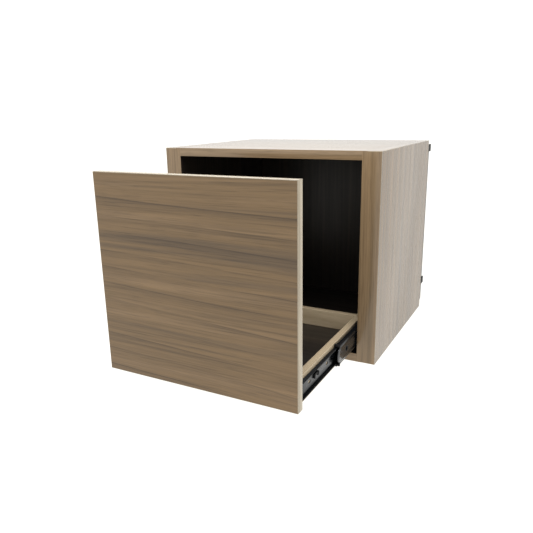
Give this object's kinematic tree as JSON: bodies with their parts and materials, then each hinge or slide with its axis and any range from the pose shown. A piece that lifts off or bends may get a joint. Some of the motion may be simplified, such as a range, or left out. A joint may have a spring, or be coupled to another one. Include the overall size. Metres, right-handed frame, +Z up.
{
  "type": "file box with drawer",
  "caption": "Open-fronted laminated-board box whose file drawer runs out on telescopic ball slides, with steel brackets and hooks on its back edges for hanging.",
  "frame": {"origin": "centre of the case's bottom face, on the surface that the case rests on", "axes": "+X to the right seen from the front, +Y from the drawer's front towards the back, +Z up"},
  "size_m": [0.45, 0.6355, 0.39],
  "materials": {
    "wood_laminate": "grey-brown wood-grain laminate, satin",
    "black_laminate": "dark laminate, satin",
    "plywood": "clear-finished pale plywood",
    "dowel_wood": "bare beech",
    "black_steel": "black electro-coat, glossy",
    "grey_painted_steel": "grey powder coat, satin",
    "zinc_steel": "zinc plated",
    "black_plastic": "moulded, matt"
  },
  "bodies": {
    "case": {"left_side_panel": "wood_laminate", "right_side_panel": "wood_laminate", "left_side_liner": "black_laminate", "right_side_liner": "black_laminate", "bottom_panel": "wood_laminate", "top_panel": "wood_laminate", "back_panel": "black_laminate", "bottom_left_front_dowel": "dowel_wood", "bottom_left_rear_dowel": "dowel_wood", "bottom_right_front_dowel": "dowel_wood", "bottom_right_rear_dowel": "dowel_wood", "top_left_front_dowel": "dowel_wood", "top_left_rear_dowel": "dowel_wood", "top_right_front_dowel": "dowel_wood", "top_right_rear_dowel": "dowel_wood", "left_hanging_bracket": "grey_painted_steel", "right_hanging_bracket": "grey_painted_steel", "left_lower_hook": "black_steel", "left_upper_hook": "black_steel", "right_lower_hook": "black_steel", "right_upper_hook": "black_steel", "left_bracket_lower_screw": "zinc_steel", "left_bracket_upper_screw": "zinc_steel", "right_bracket_lower_screw": "zinc_steel", "right_bracket_upper_screw": "zinc_steel", "left_cabinet_member": "black_steel", "right_cabinet_member": "black_steel", "left_cabinet_member_screw_1": "zinc_steel", "left_cabinet_member_screw_2": "zinc_steel", "right_cabinet_member_screw_1": "zinc_steel", "right_cabinet_member_screw_2": "zinc_steel"},
    "right_intermediate": {"right_intermediate_member": "black_steel", "right_intermediate_bumper": "black_plastic"},
    "left_intermediate": {"left_intermediate_member": "black_steel", "left_intermediate_bumper": "black_plastic"},
    "right_outer_cage": {"right_outer_ball_cage": "zinc_steel"},
    "left_outer_cage": {"left_outer_ball_cage": "zinc_steel"},
    "right_inner_cage": {"right_inner_ball_cage": "zinc_steel"},
    "left_inner_cage": {"left_inner_ball_cage": "zinc_steel"},
    "drawer": {"drawer_front": "wood_laminate", "drawer_box_front": "plywood", "drawer_box_back": "plywood", "drawer_left_side": "plywood", "drawer_right_side": "plywood", "drawer_bottom": "black_laminate", "drawer_front_left_screw": "zinc_steel", "drawer_front_right_screw": "zinc_steel", "left_drawer_member": "black_steel", "right_drawer_member": "black_steel", "left_drawer_member_screw_1": "zinc_steel", "left_drawer_member_screw_2": "zinc_steel", "right_drawer_member_screw_1": "zinc_steel", "right_drawer_member_screw_2": "zinc_steel", "left_lever_rivet": "zinc_steel", "right_lever_rivet": "zinc_steel"},
    "right_lever": {"right_release_lever": "black_plastic"},
    "left_lever": {"left_release_lever": "black_plastic"}
  },
  "joints": [
    {"name": "right_intermediate_slide", "type": "slide", "parent": "case", "child": "right_intermediate", "axis": [0, -1, 0], "range_m": [-0.112, 0.034]},
    {"name": "left_intermediate_slide", "type": "slide", "parent": "case", "child": "left_intermediate", "axis": [0, -1, 0], "range_m": [-0.112, 0.034]},
    {"name": "right_outer_cage_slide", "type": "slide", "parent": "case", "child": "right_outer_cage", "axis": [0, -1, 0], "range_m": [-0.056, 0.017]},
    {"name": "left_outer_cage_slide", "type": "slide", "parent": "case", "child": "left_outer_cage", "axis": [0, -1, 0], "range_m": [-0.056, 0.017]},
    {"name": "drawer_slide", "type": "slide", "parent": "right_intermediate", "child": "drawer", "axis": [0, -1, 0], "range_m": [-0.138, 0.016]},
    {"name": "right_inner_cage_slide", "type": "slide", "parent": "right_intermediate", "child": "right_inner_cage", "axis": [0, -1, 0], "range_m": [-0.069, 0.008]},
    {"name": "left_inner_cage_slide", "type": "slide", "parent": "left_intermediate", "child": "left_inner_cage", "axis": [0, -1, 0], "range_m": [-0.069, 0.008]},
    {"name": "right_lever_hinge", "type": "hinge", "parent": "drawer", "child": "right_lever", "pos_m": [0.1801, -0.346, 0.0485], "axis": [1, 0, 0], "range_deg": [-8, 8], "stiffness_Nm_per_rad": 0.02},
    {"name": "left_lever_hinge", "type": "hinge", "parent": "drawer", "child": "left_lever", "pos_m": [-0.1801, -0.346, 0.0485], "axis": [1, 0, 0], "range_deg": [-8, 8], "stiffness_Nm_per_rad": 0.02}
  ],
  "couplings": [
    {"joint": "left_intermediate_slide", "follows": "right_intermediate_slide", "ratio": 1},
    {"joint": "right_outer_cage_slide", "follows": "right_intermediate_slide", "ratio": 0.5},
    {"joint": "left_outer_cage_slide", "follows": "right_intermediate_slide", "ratio": 0.5},
    {"joint": "right_inner_cage_slide", "follows": "drawer_slide", "ratio": 0.5},
    {"joint": "left_inner_cage_slide", "follows": "drawer_slide", "ratio": 0.5}
  ]
}
